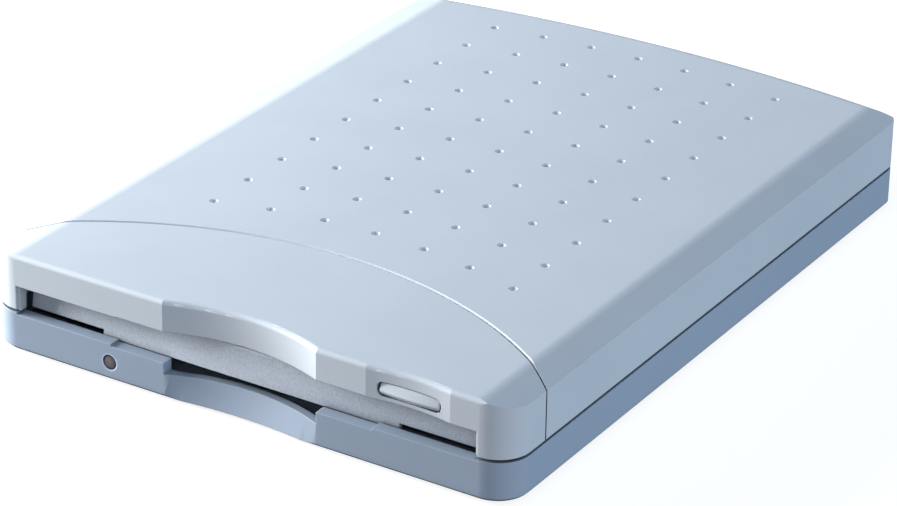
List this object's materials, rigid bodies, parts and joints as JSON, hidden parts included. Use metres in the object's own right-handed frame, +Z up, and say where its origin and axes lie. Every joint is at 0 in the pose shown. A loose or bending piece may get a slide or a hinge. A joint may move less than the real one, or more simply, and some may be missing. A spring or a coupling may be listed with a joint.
{
  "type": "external floppy disk drive",
  "caption": "Slim external drive for flexible disks: moulded case with a sprung slot door, eject button and indicator, and the disk-loading mechanism inside.",
  "frame": {"origin": "middle of the base, level with the underside of the feet", "axes": "+X to the right and +Y to the back, seen from the slot; +Z up"},
  "size_m": [0.104, 0.142, 0.0187],
  "materials": {
    "cover_plastic": "fine satin-textured moulded plastic",
    "shell_plastic": "fine satin-textured moulded plastic",
    "door_plastic": "fine grained moulded plastic",
    "button_plastic": "smooth satin moulded plastic",
    "lens_plastic": "smoked clear plastic",
    "lamp_plastic": "tinted clear resin",
    "foot_rubber": "matt rubber",
    "screw_steel": "zinc plated",
    "sheet_steel": "zinc-plated pressed steel",
    "spring_steel": "spring wire",
    "turned_steel": "ground and plated",
    "board_laminate": "green solder resist",
    "component_plastic": "moulded epoxy",
    "ribbon_film": "laminated film",
    "bearing_bronze": "sintered bronze",
    "coil_copper": "enamelled copper wire",
    "magnet_ferrite": "ferrite",
    "carriage_plastic": "glass-filled plastic",
    "head_ferrite": "polished ceramic",
    "plunger_plastic": "natural acetal"
  },
  "bodies": {
    "case": {"top_cover": "cover_plastic", "front_bezel": "cover_plastic", "lower_shell": "shell_plastic", "indicator_lens": "lens_plastic", "indicator_lamp": "lamp_plastic", "rubber_feet": "foot_rubber", "case_screws": "screw_steel", "chassis": "sheet_steel", "screening_plate": "sheet_steel", "screening_plate_screws": "screw_steel", "chassis_screws": "screw_steel", "main_board": "board_laminate", "main_board_parts": "component_plastic", "interface_board": "board_laminate", "interface_board_parts": "component_plastic", "board_screws": "screw_steel", "ribbon_cable": "ribbon_film", "data_socket": "sheet_steel", "spindle_bearing": "bearing_bronze", "stator_board": "board_laminate", "stator_coils": "coil_copper", "guide_rod": "turned_steel", "stepper_motor": "sheet_steel", "stepper_bracket": "sheet_steel", "switch_bodies": "component_plastic", "eject_springs": "spring_steel", "door_spring": "spring_steel"},
    "door": {"slot_door": "door_plastic"},
    "eject_frame": {"eject_slide": "sheet_steel", "eject_button": "button_plastic"},
    "cradle": {"disk_cradle": "sheet_steel", "cradle_guide_pins": "turned_steel", "shutter_lever_pivot": "turned_steel", "shutter_lever_spring": "spring_steel"},
    "lever": {"shutter_lever": "carriage_plastic"},
    "rotor": {"rotor_cup": "sheet_steel", "rotor_magnet": "magnet_ferrite", "drive_hub": "turned_steel", "drive_pin": "turned_steel"},
    "carriage": {"head_carriage": "carriage_plastic", "lower_head": "head_ferrite"},
    "arm": {"upper_head_arm": "carriage_plastic", "upper_head": "head_ferrite", "arm_pivot_pin": "turned_steel", "arm_spring": "spring_steel"},
    "screw": {"lead_screw": "turned_steel"},
    "disk_in": {"disk_in_plunger": "plunger_plastic"},
    "write_protect": {"write_protect_plunger": "plunger_plastic"},
    "density": {"density_plunger": "plunger_plastic"}
  },
  "joints": [
    {"name": "door_hinge", "type": "hinge", "parent": "case", "child": "door", "pos_m": [0, -0.067, 0.0123], "axis": [1, 0, 0], "range_deg": [0, 95], "stiffness_Nm_per_rad": 0.0001, "springref_deg": -17.19},
    {"name": "eject_travel", "type": "slide", "parent": "case", "child": "eject_frame", "axis": [0, -1, 0], "range_m": [0, 0.004]},
    {"name": "cradle_drop", "type": "slide", "parent": "case", "child": "cradle", "axis": [0, 0, -1], "range_m": [0, 0.002]},
    {"name": "lever_swing", "type": "hinge", "parent": "cradle", "child": "lever", "pos_m": [0.037, 0.017, 0.0126], "axis": [0, 0, -1], "range_deg": [0, 72], "stiffness_Nm_per_rad": 0.0005, "springref_deg": -11.46},
    {"name": "spindle_spin", "type": "hinge", "parent": "case", "child": "rotor", "pos_m": [0, -0.018, 0.0053], "axis": [0, 0, 1], "continuous": true},
    {"name": "carriage_travel", "type": "slide", "parent": "case", "child": "carriage", "axis": [0, -1, 0], "range_m": [0, 0.015]},
    {"name": "screw_turn", "type": "hinge", "parent": "case", "child": "screw", "pos_m": [0.0105, 0.039, 0.0061], "axis": [0, 1, 0], "range_deg": [0, 1440]},
    {"name": "arm_lowering", "type": "hinge", "parent": "carriage", "child": "arm", "pos_m": [0, 0.04665, 0.0136], "axis": [1, 0, 0], "range_deg": [0, 9.6]},
    {"name": "disk_in_press", "type": "slide", "parent": "case", "child": "disk_in", "axis": [0, 0, -1], "range_m": [0, 0.0011], "stiffness_N_per_m": 20},
    {"name": "write_protect_press", "type": "slide", "parent": "case", "child": "write_protect", "axis": [0, 0, -1], "range_m": [0, 0.0011], "stiffness_N_per_m": 20},
    {"name": "density_press", "type": "slide", "parent": "case", "child": "density", "axis": [0, 0, -1], "range_m": [0, 0.0011], "stiffness_N_per_m": 20}
  ],
  "couplings": [
    {"joint": "cradle_drop", "follows": "eject_travel", "ratio": 0.5},
    {"joint": "arm_lowering", "follows": "eject_travel", "rad_per_m": 41.887},
    {"joint": "screw_turn", "follows": "carriage_travel", "rad_per_m": 1675.5}
  ]
}
